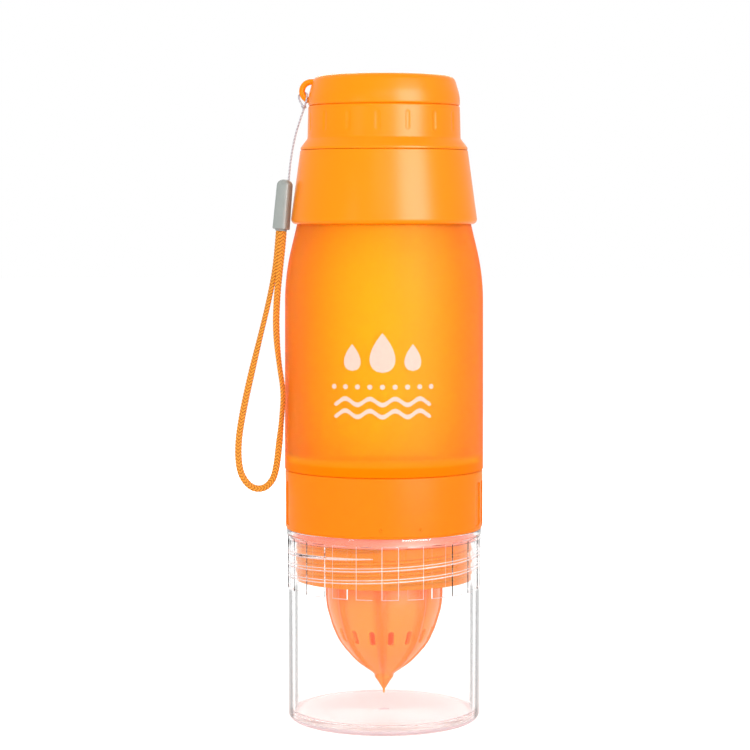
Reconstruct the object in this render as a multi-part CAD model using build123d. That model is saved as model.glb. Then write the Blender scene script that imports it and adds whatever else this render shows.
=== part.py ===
from build123d import *
import math
import os

# A fruit infuser water bottle, in millimetres. +Z is up and the origin is the centre of the
# face that the base cup stands on. The strap eye is at -X and the front of the bottle is -Y.
# Each section turns, cuts and places one piece, from the base cup up to the cap and the strap.

# Fits that several pieces share
parting_gap = 0.1        # between two faces that screw up against each other
seal_fit = 0.1           # round a gasket in its seat
socket_fit = 0.3         # round a gasket or a neck that drops into a socket
thread_space = 0.6       # radial room for the screw thread between a spigot and its socket
edge_round = 0.5         # soft edge of a moulded rim
root_round = 1.0         # soft inner corner of a moulding
overrun = 1.0            # how far a cutter runs past the face that it cuts

# The stack's outside, from its largest radius inwards
body_radius = 37.5       # the bottle body at its lower edge
body_taper = 0.2         # to where its shoulder begins
ring_step = 0.2          # the juicer's grip ring, inside the body
rim_step = 0.35          # the cup's rim, inside the grip ring
cup_step = 0.55          # the cup's wall, inside its rim
throat_inset = 4.75      # the shoulder's upper end, inside the body
neck_inset = 3.75        # the neck, inside the shoulder's end
spout_inset = 5.0        # the spout, inside the neck

# Base cup
cup_height = 73.0
cup_wall = 2.2
cup_floor = 3.2          # height of the inner floor
foot_width = 14.0        # the standing ring, round a recess under the floor
foot_recess = 0.9
cup_base_round = 2.6
cup_floor_round = 2.0
rim_height = 2.4
pad_count = 24           # raised grip pads
pad_relief = 0.4
pad_height = 20.1
pad_angle = 9.9
pad_phase = 3.4          # one pad's centre, right of the front

# Gaskets
gasket_height = 3.9      # the tall one behind the cup's rim
gasket_width = 1.8
washer_height = 2.0      # the three flat ones
washer_width = 2.9

# Juicer
ring_height = 22.4
ring_wall = 2.7
ring_lip_height = 0.7    # the narrower lip that meets the cup
skirt_space = 1.2        # radial room for both threads between the skirt and the cup
skirt_wall = 2.2
skirt_depth = 19.4       # below the cup's rim
plate_thickness = 2.2
ledge_height = 2.5       # of the bottle gasket's ledge, above the cup's rim
grip_depth = 0.5         # recessed slots at both sides of the ring
grip_height = 16.3
grip_lift = 1.9          # above the cup's rim
grip_angle = 8.0
grip_pitch = 11.5
grips_a_side = 4
grip_turn = 2.75         # both groups sit this far clockwise, seen from above, of the sides

# Reamer, on the juicer's underside
reamer_radius = 22.3     # over the ridges
reamer_length = 37.9     # from the plate to the end of the ridges
reamer_wall = 1.8
reamer_straight = 5.5
shoulder_radius_share = 0.76
shoulder_depth_share = 0.633
nose_radius_share = 0.155
ridge_count = 8
ridge_height = 0.9
ridge_width = 2.6
ridge_phase = -3.0
slot_width = 2.2         # juice slots, one each side of every ridge
slot_length = 5.4
slot_drop_share = 0.541   # of the reamer's length, from the plate to their middle
slot_round = 0.7
boss_proud = 0.12        # of the boss that ends the ridges, past their crests
tip_radius = 2.5         # the spike under the boss
tip_step = 1.5
tip_length = 3.2
needle_radius = 0.35     # the moulding's gate left on the spike
needle_length = 1.7

# Bottle body
bottle_wall = 2.2
shell_height = 91.9      # between the juicer's ring and the collar
shoulder_height = 19.0   # of the sloping part that shows
shoulder_round_share = 0.484  # of the slope that its rounding takes
spigot_wall = 2.4
neck_wall = 2.4
neck_shoulder_drop = 5.6 # from the collar's lower edge up to the neck
neck_shoulder_round = 2.0

# Spout collar
collar_height = 27.6
collar_foot_wall = 2.35
collar_top_wall = 1.85
collar_base_round = 1.9
collar_top_round = 1.3
collar_deck = 2.5
collar_mouth_rise = 2.8
spout_wall = 2.5
spout_height = 15.8
spout_round = 0.8

# Cap
insert_wall = 2.0
insert_lift = 1.7        # the insert's foot above the sleeve's
insert_fit = 0.15
sleeve_height = 16.5
sleeve_wall = 1.85
sleeve_draft = 0.15      # wider at the foot
flare_step = 0.1         # the flared skirt, inside the collar's top
flare_height = 4.3
flare_edge = 0.9
flare_round = 0.6
groove_round = 0.25      # the two soft edges that make the fine parting groove
notch_count = 16         # shallow grip grooves
notch_width = 2.0
notch_length = 7.4
notch_depth = 0.35
notch_lift = 6.7
notch_phase = -5.1
cap_top_height = 11.2
cap_top_step = 0.15      # the cap top, inside the sleeve
cap_crown_inset = 2.25   # the crown, inside the cap top's foot
cap_side_height = 3.6    # upright part of the side, under the dome
cap_side_round = 15.0
cap_crown_round = 3.2
cap_wall = 1.8
eye_radius = 3.3         # centre line of the strap eye
eye_bar = 0.95
eye_height = 5.5         # of the eye's centre, above the cap top's lower edge
eye_proud = 1.05         # of the eye's centre, outside the crown
eye_arm = 1.45           # how far the upper arm runs on into the dome

# Radii that follow from these
ring_radius = body_radius - ring_step
rim_radius = ring_radius - rim_step
cup_radius = rim_radius - cup_step
cup_bore = cup_radius - cup_wall
skirt_radius = cup_bore - skirt_space
ring_bore = ring_radius - ring_wall
spigot_radius = ring_bore - thread_space
throat_radius = body_radius - throat_inset
neck_radius = throat_radius - neck_inset
socket_radius = neck_radius + thread_space
collar_top_radius = socket_radius + collar_top_wall
spout_radius = neck_radius - spout_inset
insert_bore = spout_radius + thread_space
cap_bore = insert_bore + insert_wall + insert_fit
sleeve_radius = cap_bore + sleeve_wall
cap_top_radius = sleeve_radius - cap_top_step
cap_crown_radius = cap_top_radius - cap_crown_inset
eye_reach = cap_crown_radius + eye_proud

# Strap
thread_diameter = 0.8
knot_radius = 0.95
cord_diameter = 2.0
cord_spacing = 2.1
bead_width = 5.6
bead_depth = 5.0
bead_corner = 0.9
bead_dome = 2.3
bead_turn = -25.0        # one flat side faces the collar
plug_width = 4.7
plug_depth = 3.4
plug_proud = 0.6
plug_length = 6.0
plug_fit = 0.05

# The strap hangs from the eye, so its places are counted from the eye's centre.
bead_foot_place = (-11.35, -4.2, -51.6)
bead_top_place = (-9.75, -3.6, -33.1)

# The thread's route: out of the bead, up to the knot, then round the eye's bar and back
thread_knot = 5          # the route's point where the thread is knotted
thread_route = [
    (-9.00, -3.75, -34.70),
    (-8.50, -3.30, -29.30),
    (-7.50, -2.70, -22.80),
    (-5.95, -2.00, -16.10),
    (-3.95, -1.45, -9.80),
    (-2.55, -1.30, -6.00),
    (-1.75, -1.75, -3.30),
    (-1.55, -1.25, -1.60),
    (-1.60, 0.15, -0.90),
    (-2.50, 1.60, -0.40),
    (-4.10, 1.50, -0.80),
    (-4.90, 0.40, -1.90),
    (-4.35, -0.70, -3.80),
    (-3.10, -1.15, -5.50),
]

# The cord's route between its two ends in the plug: down the outer strand, round the bottom
# of the loop, and up the strand that leans on the front of the bottle's side
cord_route = [
    (-12.75, -3.90, -57.80),
    (-13.85, -3.50, -67.80),
    (-16.45, -2.90, -80.30),
    (-19.85, -2.30, -93.80),
    (-23.15, -1.80, -107.30),
    (-26.15, -1.50, -120.80),
    (-27.95, -1.50, -132.30),
    (-27.65, -1.80, -141.30),
    (-25.75, -2.30, -146.20),
    (-22.35, -2.90, -149.40),
    (-18.05, -3.70, -149.40),
    (-14.75, -4.60, -146.20),
    (-13.25, -5.50, -141.30),
    (-12.15, -7.20, -132.30),
    (-11.05, -9.20, -121.80),
    (-10.25, -10.80, -112.30),
    (-12.15, -9.40, -101.30),
    (-13.25, -7.80, -89.30),
    (-12.95, -6.60, -77.80),
    (-11.95, -5.60, -67.30),
    (-10.85, -4.95, -57.80),
]

# Heights where one piece ends and the next begins
ring_base = cup_height + parting_gap
ring_top = ring_base + ring_height
shell_base = ring_top + parting_gap
collar_base = shell_base + shell_height + parting_gap
collar_top = collar_base + collar_height
sleeve_base = collar_top + parting_gap
sleeve_top = sleeve_base + sleeve_height
cap_top_base = sleeve_top
cap_crown = cap_top_base + cap_top_height
spout_top = collar_top + spout_height
eye_centre = Vector(-eye_reach, 0, cap_top_base + eye_height)


def turned(*outline):
    """A solid turned about Z from points of radius, height and corner rounding."""
    corners = [(radius, height) for radius, height, rounding in outline]
    roundings = [rounding for radius, height, rounding in outline]
    edge = FilletPolyline(*corners, radius=roundings, close=True)
    return revolve(Plane.XZ * make_face(edge), Axis.Z)


def arc_block(inner, outer, low, high, angle, centre):
    """A block bent round Z between two radii and two heights, centred right of the front."""
    outline = Polyline((inner, low), (outer, low), (outer, high), (inner, high), close=True)
    block = revolve(Plane.XZ * make_face(outline), Axis.Z, revolution_arc=angle)
    return Rot(0, 0, from_front(centre) - angle / 2) * block


def from_front(angle):
    """The angle about Z of a direction that lies this far right of the front, -Y."""
    return angle - 90


def washer(inner, outer, low, high):
    """A flat gasket."""
    return turned((inner, low, 0), (outer, low, 0), (outer, high, 0), (inner, high, 0))


def base_cup():
    """Clear drinking cup that closes the bottle's lower end and catches the juice."""
    seat = skirt_radius + seal_fit + gasket_width + seal_fit
    rim_base = cup_height - rim_height
    seat_base = cup_height - gasket_height
    cup = turned(
        (0, foot_recess, 0),
        (cup_radius - foot_width, foot_recess, 0),
        (cup_radius - foot_width, 0, 0),
        (cup_radius, 0, cup_base_round),
        (cup_radius, rim_base, 0),
        (rim_radius, rim_base, 0),
        (rim_radius, cup_height, edge_round),
        (seat, cup_height, 0),
        (seat, seat_base, 0),
        (cup_bore, seat_base, 0),
        (cup_bore, cup_floor, cup_floor_round),
        (0, cup_floor, 0),
    )
    pads = [
        arc_block(cup_bore + cup_wall / 2, cup_radius + pad_relief, rim_base - pad_height, rim_base,
                  pad_angle, pad_phase + 360 / pad_count * number)
        for number in range(pad_count)
    ]
    return cup + pads


def cup_gasket():
    """Silicone ring in the cup's rim, pressed by the underside of the juicer's ring."""
    inner = skirt_radius + seal_fit
    return washer(inner, inner + gasket_width, cup_height - gasket_height + seal_fit, cup_height)


def reamer_line(inset):
    """The reamer's outline from the plate down to its nose, moved inwards by an inset."""
    plate = ring_base - skirt_depth
    top = Vector(reamer_radius, plate - reamer_straight)
    shoulder = Vector(reamer_radius * shoulder_radius_share,
                      plate - reamer_length * shoulder_depth_share)
    nose = Vector(reamer_radius * nose_radius_share, plate - reamer_length)
    shoulder_lean = 2 * math.atan2(top.X - shoulder.X, top.Y - shoulder.Y)
    chord_lean = math.atan2(shoulder.X - nose.X, shoulder.Y - nose.Y)
    nose_lean = 2 * chord_lean - shoulder_lean
    points = [
        point + Vector(-math.cos(lean), math.sin(lean)) * inset
        for point, lean in ((top, 0), (shoulder, shoulder_lean), (nose, nose_lean))
    ]
    straight = Line((points[0].X, plate + plate_thickness / 2), points[0])
    flank = TangentArc(points[0], points[1], tangent=(0, -1))
    cone = TangentArc(points[1], points[2], tangent=flank % 1)
    return straight, flank, cone


def reamer_shell():
    """The hollow reamer without its ridges."""
    outer = reamer_line(ridge_height)
    inner = reamer_line(ridge_height + reamer_wall)
    nose = outer[2] @ 1
    hollow = inner[2] @ 1
    floor = Polyline(nose, (0, nose.Y), (0, hollow.Y), hollow)
    rim = Line(inner[0] @ 0, outer[0] @ 0)
    return revolve(Plane.XZ * make_face([*outer, floor, *inner, rim]), Axis.Z)


def reamer_spike():
    """The boss where the ridges end, with the spike and the moulding's gate under it."""
    nose = reamer_line(0)[2] @ 1
    root = (reamer_line(ridge_height)[2] @ 1).Y + reamer_wall / 2
    boss = nose.X + boss_proud
    return turned(
        (0, root, 0),
        (boss, root, 0),
        (boss, nose.Y, boss_proud),
        (tip_radius, nose.Y - tip_step, 0),
        (needle_radius, nose.Y - tip_step - tip_length, 0),
        (needle_radius, nose.Y - tip_step - tip_length - needle_length, 0),
        (0, nose.Y - tip_step - tip_length - needle_length, 0),
    )


def reamer_ridges():
    """Rounded ridges that run down the reamer and meet round its nose."""
    path = Plane.XZ * Wire([edge.edge() for edge in reamer_line(ridge_height)])
    section = Plane(path @ 0, x_dir=(1, 0, 0), z_dir=path % 0) * Ellipse(ridge_height, ridge_width / 2)
    ridge = sweep(section, path)
    return [
        Rot(0, 0, from_front(ridge_phase + 360 / ridge_count * number)) * ridge
        for number in range(ridge_count)
    ]


def juice_slots():
    """Cutters for the slots that let the juice through, one each side of every ridge."""
    height = ring_base - skirt_depth - reamer_length * slot_drop_share
    window = Plane.YZ * RectangleRounded(slot_width, slot_length, slot_round)
    slot = Pos(0, 0, height) * extrude(window, reamer_radius + overrun)
    pitch = 180 / ridge_count
    return [
        Rot(0, 0, from_front(ridge_phase + pitch / 2 + pitch * number)) * slot
        for number in range(2 * ridge_count)
    ]


def grip_slots():
    """Cutters for the two groups of grip slots, at the left and the right of the ring."""
    low = ring_base + grip_lift
    inner = ring_radius - grip_depth
    spread = grip_pitch * (grips_a_side - 1)
    return [
        arc_block(inner, ring_radius + overrun, low, low + grip_height, grip_angle,
                  side - grip_turn - spread / 2 + grip_pitch * number)
        for side in (-90, 90)
        for number in range(grips_a_side)
    ]


def juicer():
    """Grip ring, threaded skirt, plate and reamer, moulded as one piece."""
    skirt_base = ring_base - skirt_depth
    skirt_bore = skirt_radius - skirt_wall
    ledge = ring_base + ledge_height
    hole = reamer_radius - ridge_height - reamer_wall
    plate_top = skirt_base + plate_thickness
    shell = turned(
        (hole, skirt_base, 0),
        (skirt_radius, skirt_base, edge_round),
        (skirt_radius, ring_base, 0),
        (rim_radius, ring_base, 0),
        (rim_radius, ring_base + ring_lip_height, 0),
        (ring_radius, ring_base + ring_lip_height, 0),
        (ring_radius, ring_top, edge_round),
        (ring_bore, ring_top, 0),
        (ring_bore, ledge, 0),
        (skirt_bore, ledge, 0),
        (skirt_bore, plate_top, root_round),
        (hole, plate_top, 0),
    )
    body = shell + reamer_shell() + reamer_spike() + reamer_ridges()
    return body - juice_slots() - grip_slots()


def bottle_gasket():
    """Silicone washer on the juicer's ledge, under the end of the bottle's spigot."""
    outer = ring_bore - socket_fit
    low = ring_base + ledge_height
    return washer(outer - washer_width, outer, low + parting_gap, low + washer_height)


def bottle_body():
    """Frosted shell, open at both ends: a spigot below and a neck above."""
    spigot_base = ring_base + ledge_height + washer_height + parting_gap
    spigot_bore = spigot_radius - spigot_wall
    shoulder_base = shell_base + shell_height - shoulder_height
    shell_top = shell_base + shell_height
    neck_base = shell_top + neck_shoulder_drop
    neck_top = collar_top - collar_deck - washer_height - parting_gap
    neck_bore = neck_radius - neck_wall
    top = body_radius - body_taper
    lean = math.atan2(top - throat_radius, shoulder_height)
    slope = math.hypot(top - throat_radius, shoulder_height)
    rounding = shoulder_round_share * slope / math.tan(lean / 2)
    shoulder_slip = bottle_wall * math.tan(lean / 2)
    return turned(
        (spigot_bore, spigot_base, 0),
        (spigot_radius, spigot_base, edge_round),
        (spigot_radius, shell_base, 0),
        (body_radius, shell_base, edge_round),
        (top, shoulder_base, rounding),
        (throat_radius, shell_top, 0),
        (throat_radius - edge_round, shell_top + neck_shoulder_round, neck_shoulder_round),
        (neck_radius, neck_base, neck_shoulder_round),
        (neck_radius, neck_top, edge_round),
        (neck_bore, neck_top, edge_round),
        (neck_bore, neck_base - neck_wall / 2, neck_shoulder_round),
        (throat_radius - bottle_wall, shell_top, neck_shoulder_round),
        (top - bottle_wall, shoulder_base - shoulder_slip, rounding - bottle_wall),
        (body_radius - bottle_wall, shell_base + bottle_wall, root_round),
        (spigot_bore, shell_base, root_round),
    )


def neck_gasket():
    """Silicone washer on the bottle's neck, under the collar's deck."""
    outer = neck_radius
    low = collar_top - collar_deck - washer_height
    return washer(outer - washer_width, outer, low, low + washer_height - parting_gap)


def spout_collar():
    """Opaque shoulder that screws over the neck and carries the drinking spout."""
    mouth = throat_radius + socket_fit
    spout_bore = spout_radius - spout_wall
    deck_base = collar_top - collar_deck
    mouth_top = collar_base + collar_mouth_rise
    return turned(
        (mouth, collar_base, 0),
        (mouth + collar_foot_wall, collar_base, collar_base_round),
        (collar_top_radius, collar_top, collar_top_round),
        (spout_radius, collar_top, spout_round),
        (spout_radius, spout_top, spout_round),
        (spout_bore, spout_top, spout_round),
        (spout_bore, deck_base, 0),
        (socket_radius, deck_base, 0),
        (socket_radius, mouth_top + (mouth - socket_radius), root_round),
        (mouth, mouth_top, root_round),
    )


def cap_gasket():
    """Silicone ring on the spout's rim, inside the cap's insert."""
    outer = insert_bore - socket_fit
    low = spout_top + parting_gap
    return washer(outer - washer_width, outer, low, low + washer_height)


def cap_insert():
    """Inner threaded cup of the cap, closed above the spout."""
    outer = insert_bore + insert_wall
    foot = sleeve_base + insert_lift
    ceiling = spout_top + parting_gap + washer_height + parting_gap
    return turned(
        (insert_bore, foot, 0),
        (outer, foot, edge_round),
        (outer, ceiling + insert_wall, root_round),
        (0, ceiling + insert_wall, 0),
        (0, ceiling, 0),
        (insert_bore, ceiling, 0),
    )


def cap_sleeve():
    """Outer band of the cap, with its grip grooves, and the flared skirt under it."""
    flare_radius = collar_top_radius - flare_step
    shoulder = sleeve_base + flare_height
    sleeve = turned(
        (flare_radius - sleeve_wall, sleeve_base, 0),
        (flare_radius, sleeve_base, flare_round / 2),
        (flare_radius, sleeve_base + flare_edge, flare_round),
        (sleeve_radius + sleeve_draft, shoulder, root_round),
        (sleeve_radius, sleeve_top, groove_round),
        (cap_bore, sleeve_top, 0),
        (cap_bore, shoulder - sleeve_wall / 2, 0),
    )
    height = sleeve_base + notch_lift + notch_length / 2
    outline = Plane.YZ * Rot(0, 0, 90) * SlotOverall(notch_length, notch_width)
    notch = Pos(sleeve_radius - notch_depth, 0, height) * extrude(outline, overrun)
    notches = [
        Rot(0, 0, from_front(notch_phase + 360 / notch_count * number)) * notch
        for number in range(notch_count)
    ]
    return sleeve - notches


def strap_eye():
    """The moulded half ring that carries the strap, with its arms run into the dome's wall."""
    upper = eye_centre + Vector(0, 0, eye_radius)
    lower = eye_centre - Vector(0, 0, eye_radius)
    outermost = eye_centre - Vector(eye_radius, 0, 0)
    arm = Line(upper + Vector(eye_arm, 0, 0), upper)
    bow = ThreePointArc(upper, outermost, lower)
    path = Wire([arm.edge(), bow.edge()])
    return sweep(Plane(path @ 0, z_dir=path % 0) * Circle(eye_bar), path)


def cap_top():
    """Domed cover of the cap, with the strap eye moulded on its side."""
    side_top = cap_top_base + cap_side_height
    ceiling = cap_crown - cap_wall
    dome = turned(
        (cap_bore, cap_top_base, 0),
        (cap_top_radius, cap_top_base, groove_round),
        (cap_top_radius, side_top, cap_side_round),
        (cap_crown_radius, cap_crown, cap_crown_round),
        (0, cap_crown, 0),
        (0, ceiling, 0),
        (cap_crown_radius - cap_wall, ceiling, root_round),
        (cap_bore, side_top + cap_wall, root_round),
    )
    return dome + strap_eye()


def from_eye(*places):
    """Places of the strap that are counted from the eye's centre."""
    return [eye_centre + Vector(*place) for place in places]


def bead_axis():
    """The direction from the bead's foot to its top."""
    return (Vector(*bead_top_place) - Vector(*bead_foot_place)).normalized()


def bead_plane(origin):
    """A plane square to the bead's axis, turned so that one flat side faces the collar."""
    plane = Plane(origin, x_dir=(1, 0, 0), z_dir=bead_axis())
    return plane.rotated((0, 0, bead_turn))


def strap_bead():
    """Grey end clip: a rounded block with an arched top, a socket below and a hole above."""
    foot, top, start, ahead = from_eye(bead_foot_place, bead_top_place, *thread_route[:2])
    length = (top - foot).length
    block = extrude(RectangleRounded(bead_width, bead_depth, bead_corner), length)
    for width, side in ((bead_width, 0), (bead_depth, 90)):
        corners = ((-width / 2, -bead_dome), (width / 2, -bead_dome),
                   (width / 2, length), (-width / 2, length))
        arch = make_face(FilletPolyline(*corners, radius=[0, 0, bead_dome, bead_dome], close=True))
        block = block & Rot(0, 0, side) * extrude(Plane.XZ * arch, bead_width, both=True)
    socket = extrude(Ellipse(plug_width / 2 + plug_fit, plug_depth / 2 + plug_fit),
                     plug_length - plug_proud + plug_fit)
    bead = bead_plane(foot).location * (block - socket)
    hole = Plane(start, z_dir=ahead - start) * Circle(thread_diameter / 2 + plug_fit)
    return bead - extrude(hole, (ahead - start).length)


def plug_foot():
    """Centre of the plug's lower face."""
    return from_eye(bead_foot_place)[0] - bead_axis() * plug_proud


def strap_plug():
    """Small oval insert that holds the cord's two ends in the bead."""
    outline = bead_plane(plug_foot()).location * Ellipse(plug_width / 2, plug_depth / 2)
    return extrude(outline, plug_length)


def tube(name, points, diameter):
    """A round tube along straight runs joined by the largest arcs that the runs allow."""
    radii = []
    for before, corner, after in zip(points, points[1:], points[2:]):
        turn = math.radians((corner - before).get_angle(after - corner))
        run = min((corner - before).length, (after - corner).length)
        radii.append(0.45 * run / math.tan(turn / 2))
    path = FilletPolyline(*points, radius=radii)
    solid = sweep(Plane(path @ 0, z_dir=path % 0) * Circle(diameter / 2), path.wire())
    ideal = math.pi * diameter ** 2 / 4 * path.length
    print(f"{name}: length {path.length:.1f} mm, bend radii {[round(radius, 1) for radius in radii]}")
    print(f"{name}: volume {solid.volume:.2f}, section times length {ideal:.2f}")
    return solid


def strap_thread():
    """Pale thread from the bead up to its knot and round the eye's bar."""
    points = from_eye(*thread_route)
    knot = Pos((points[thread_knot] + points[-1]) / 2) * Sphere(knot_radius)
    return tube("strap_thread", points, thread_diameter) + knot


def strap_cord():
    """Braided wrist loop, both ends held in the plug."""
    plane = bead_plane(plug_foot())
    ends = [(plane.location * Pos(side * cord_spacing / 2, 0, 0)).position for side in (-1, 1)]
    return tube("strap_cord", [ends[0], *from_eye(*cord_route), ends[1]], cord_diameter)


pieces = {
    "base_cup": base_cup,
    "cup_gasket": cup_gasket,
    "juicer": juicer,
    "bottle_gasket": bottle_gasket,
    "bottle_body": bottle_body,
    "neck_gasket": neck_gasket,
    "spout_collar": spout_collar,
    "cap_gasket": cap_gasket,
    "cap_insert": cap_insert,
    "cap_sleeve": cap_sleeve,
    "cap_top": cap_top,
    "strap_thread": strap_thread,
    "strap_bead": strap_bead,
    "strap_plug": strap_plug,
    "strap_cord": strap_cord,
}

os.makedirs("parts", exist_ok=True)
for name, make in pieces.items():
    export_step(make(), f"parts/{name}.step")
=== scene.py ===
import math

import bpy
from mathutils import Matrix, Vector


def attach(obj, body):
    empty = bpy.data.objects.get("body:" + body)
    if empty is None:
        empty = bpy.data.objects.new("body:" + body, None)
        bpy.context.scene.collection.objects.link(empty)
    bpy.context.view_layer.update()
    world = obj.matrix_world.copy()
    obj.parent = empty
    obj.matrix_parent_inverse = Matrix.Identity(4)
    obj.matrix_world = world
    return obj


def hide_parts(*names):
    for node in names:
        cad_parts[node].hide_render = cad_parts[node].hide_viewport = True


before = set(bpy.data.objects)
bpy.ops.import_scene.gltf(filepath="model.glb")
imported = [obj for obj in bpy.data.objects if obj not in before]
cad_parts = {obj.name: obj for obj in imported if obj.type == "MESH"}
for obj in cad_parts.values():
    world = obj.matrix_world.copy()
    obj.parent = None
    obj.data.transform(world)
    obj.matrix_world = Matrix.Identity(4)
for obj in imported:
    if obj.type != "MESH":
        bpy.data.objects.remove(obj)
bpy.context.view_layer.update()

# Base cup. A clear styrene drinking cup, injection moulded with a thick floor on a standing
# ring, 24 raised grip pads under its beaded rim, and a two-start thread inside for the juicer.
# It is turned from its outline, and the pads and the thread are raised on the wall.
MM = 0.001
CUP_STEPS = 216           # nine columns to each grip pad and the gap beside it
PADS = 24
PAD_START = -1.6          # degrees right of the front
PAD_COLUMNS = 6
PAD_FOOT = 50.5           # heights and radii from here on are in mm
PAD_TOP = 70.0
PAD_RELIEF = 0.22
RIM_EDGE = 70.2           # where the pads run into the rim
CUP_RADIUS = 36.4
CUP_BORE = 34.2
THREAD_LEAD = 8.7         # of both starts of the cup's thread


def softened(corners, arc_steps=6):
    """The points, in mm, of an outline whose corners are radius, height and rounding."""
    points = []
    for index, (radius, height, rounding) in enumerate(corners):
        corner = Vector((radius, height))
        if not rounding:
            points.append(corner)
            continue
        back = (Vector(corners[index - 1][:2]) - corner).normalized()
        ahead = (Vector(corners[(index + 1) % len(corners)][:2]) - corner).normalized()
        half = back.angle(ahead) / 2
        centre = corner + (back + ahead).normalized() * rounding / math.sin(half)
        spoke = (corner + back * rounding / math.tan(half) - centre).normalized()
        last = (corner + ahead * rounding / math.tan(half) - centre).normalized()
        steps = arc_steps if rounding < 10 else 3 * arc_steps
        for step in range(steps + 1):
            points.append(centre + spoke.slerp(last, step / steps) * rounding)
    return points


def new_vertex(name):
    """A new mesh in edit mode with one vertex at the origin, which an outline is drawn from."""
    bpy.ops.object.select_all(action="DESELECT")
    bpy.ops.mesh.primitive_circle_add(vertices=3, radius=MM)
    piece = bpy.context.object
    piece.name = piece.data.name = name
    bpy.ops.object.mode_set(mode="EDIT")
    bpy.ops.mesh.select_all(action="SELECT")
    bpy.ops.mesh.merge(type="CENTER")
    return piece


def weld():
    """Merges the points of a piece in edit mode that lie on one another."""
    bpy.ops.mesh.select_all(action="SELECT")
    bpy.ops.mesh.remove_doubles(threshold=MM / 500)


def close_ends(sides=64):
    """Fills the open ends of a piece in edit mode, and leaves edit mode."""
    bpy.ops.mesh.select_all(action="SELECT")
    bpy.ops.mesh.fill_holes(sides=sides)
    bpy.ops.mesh.normals_make_consistent(inside=False)
    bpy.ops.object.mode_set(mode="OBJECT")


def turned(name, outline, steps=CUP_STEPS, start=0.0):
    """Draws an outline from one vertex, then spins it round the bottle's axis. An outline
    that starts and ends on the axis stays open there; any other is closed."""
    piece = new_vertex(name)
    turn = math.radians(start - 90)
    across = Vector((math.cos(turn), math.sin(turn), 0)) * MM
    up = Vector((0, 0, MM))
    on_axis = outline[0].x == 0 and outline[-1].x == 0
    bpy.ops.transform.translate(value=across * outline[0].x + up * outline[0].y)
    path = outline if on_axis else outline + outline[:1]
    for here, there in zip(path, path[1:]):
        move = across * (there.x - here.x) + up * (there.y - here.y)
        bpy.ops.mesh.extrude_vertices_move(TRANSFORM_OT_translate={"value": move})
    weld()
    bpy.ops.mesh.select_all(action="SELECT")
    bpy.ops.mesh.spin(steps=steps, angle=math.tau, center=(0, 0, 0), axis=(0, 0, 1))
    weld()
    bpy.ops.mesh.normals_make_consistent(inside=False)
    bpy.ops.object.mode_set(mode="OBJECT")
    return piece


def only(piece):
    """Selects one piece and nothing else."""
    bpy.ops.object.select_all(action="DESELECT")
    piece.select_set(True)
    bpy.context.view_layer.objects.active = piece


def smooth(piece, angle=35):
    only(piece)
    bpy.ops.object.shade_smooth_by_angle(angle=math.radians(angle))


def bearing(point):
    """Degrees right of the front."""
    return math.degrees(math.atan2(point.x, -point.y))


def thread_bar(radius, depth, low, high, front, pitch=4.25):
    """A right-handed screw thread on a wall of this radius: a bar with sloping flanks, swept up
    from low to high, sunk a little into the wall, and run out at both ends. A negative depth
    points inwards. front is the height of one crest at the front."""
    bar = new_vertex("thread_bar")
    first = math.ceil((low - front) / pitch * 8) / 8
    count = math.floor((high - low) / pitch * 8) / 8
    begin = math.radians(first * 360 - 90)
    spoke = Vector((math.cos(begin), math.sin(begin), 0)) * MM
    sunk = math.copysign(0.2, depth)
    corners = [spoke * (radius - sunk) + Vector((0, 0, -0.85 * MM)),
               spoke * (radius + depth) + Vector((0, 0, -0.35 * MM)),
               spoke * (radius + depth) + Vector((0, 0, 0.35 * MM)),
               spoke * (radius - sunk) + Vector((0, 0, 0.85 * MM))]
    rise = Vector((0, 0, (front + first * pitch) * MM))
    bpy.ops.transform.translate(value=corners[0] + rise)
    for here, there in zip(corners, corners[1:] + corners[:1]):
        bpy.ops.mesh.extrude_vertices_move(TRANSFORM_OT_translate={"value": there - here})
    weld()
    bpy.ops.object.mode_set(mode="OBJECT")
    bpy.ops.object.modifier_add(type="SCREW")
    screw = bar.modifiers[-1]
    screw.angle = count * math.tau
    screw.screw_offset = count * pitch * MM
    screw.steps = screw.render_steps = round(count * 96)
    bpy.ops.object.modifier_apply(modifier=screw.name)
    for vertex in bar.data.vertices:
        reach = math.hypot(vertex.co.x, vertex.co.y) / MM
        climb = (vertex.co.z / MM - front) / pitch - first
        fade = max(0.06, min(1, 6 * climb, 6 * (count - climb)))
        move = (radius - sunk + (reach - radius + sunk) * fade) / reach
        vertex.co.x *= move
        vertex.co.y *= move
    bpy.ops.object.mode_set(mode="EDIT")
    close_ends(4)
    return bar


def combine(piece, tool, operation="DIFFERENCE"):
    """Cuts a tool out of a piece, or adds it with UNION, and deletes the tool."""
    only(piece)
    bpy.ops.object.modifier_add(type="BOOLEAN")
    modifier = piece.modifiers[-1]
    modifier.operation = operation
    modifier.solver = "EXACT"
    modifier.object = tool
    bpy.ops.object.modifier_apply(modifier=modifier.name)
    bpy.data.objects.remove(tool)


def linear(hex_colour):
    """An sRGB hex colour as the linear one that a shader takes."""
    channels = [int(hex_colour[place:place + 2], 16) / 255 for place in (1, 3, 5)]
    return [c / 12.92 if c <= 0.04045 else ((c + 0.055) / 1.055) ** 2.4 for c in channels] + [1]


def feed(node, socket, output):
    """Links an output to a node's socket."""
    node.id_data.links.new(output, node.inputs[socket])


def add_node(material, kind, inputs=None, **options):
    """Adds a shader node, Math for ShaderNodeMath. An input is a value or a linked output."""
    node = material.node_tree.nodes.new("ShaderNode" + kind)
    for option, value in options.items():
        setattr(node, option, value)
    for socket, value in (inputs or {}).items():
        if isinstance(value, bpy.types.NodeSocket):
            feed(node, socket, value)
        else:
            node.inputs[socket].default_value = value
    return node


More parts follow.
